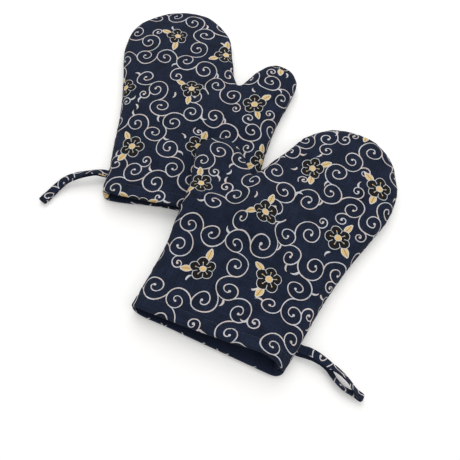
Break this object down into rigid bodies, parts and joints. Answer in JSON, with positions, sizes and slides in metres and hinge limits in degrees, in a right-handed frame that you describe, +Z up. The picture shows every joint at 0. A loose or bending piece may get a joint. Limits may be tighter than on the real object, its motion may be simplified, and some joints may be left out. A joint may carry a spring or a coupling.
{
  "type": "oven mitts",
  "caption": "Padded cotton oven mitts for a left and a right hand, each with a printed shell, batting, lining, stitched hem and folded hanging loop, laid one over the other.",
  "frame": {"origin": "middle of the pair's bounding box, on the table that the mitts lie on", "axes": "+Z up from the table; +Y away from the viewer of the picture, roughly from the cuffs to the fingertips; +X to the viewer's right"},
  "size_m": [0.372, 0.4666, 0.0423],
  "materials": {
    "printed_cotton": "navy cotton printed with cream scroll lines, matt",
    "batting": "off-white needled wadding",
    "lining_cotton": "plain navy cotton, matt",
    "thread": "navy sewing thread"
  },
  "bodies": {
    "back_mitt": {"back_mitt_shell_palm": "printed_cotton", "back_mitt_shell_back": "printed_cotton", "back_mitt_batting_palm": "batting", "back_mitt_batting_back": "batting", "back_mitt_lining_palm": "lining_cotton", "back_mitt_lining_back": "lining_cotton", "back_mitt_seam_thread": "thread", "back_mitt_hem_thread": "thread"},
    "front_mitt": {"front_mitt_shell_palm": "printed_cotton", "front_mitt_shell_back": "printed_cotton", "front_mitt_batting_palm": "batting", "front_mitt_batting_back": "batting", "front_mitt_lining_palm": "lining_cotton", "front_mitt_lining_back": "lining_cotton", "front_mitt_seam_thread": "thread", "front_mitt_hem_thread": "thread"},
    "back_loop": {"back_mitt_hanging_loop": "printed_cotton"},
    "front_loop": {"front_mitt_hanging_loop": "printed_cotton"}
  },
  "joints": [
    {"name": "front_mitt_lift", "type": "slide", "parent": "back_mitt", "child": "front_mitt", "axis": [0, 0, 1], "range_m": [0, 0.15]},
    {"name": "back_loop_hinge", "type": "hinge", "parent": "back_mitt", "child": "back_loop", "pos_m": [-0.11942, -0.00232, 0.00915], "axis": [0.0347, 0.9994, 0], "range_deg": [0, 75]},
    {"name": "front_loop_hinge", "type": "hinge", "parent": "front_mitt", "child": "front_loop", "pos_m": [0.0716, -0.18899, 0.00915], "axis": [-0.5709, -0.821, 0], "range_deg": [0, 75]}
  ]
}
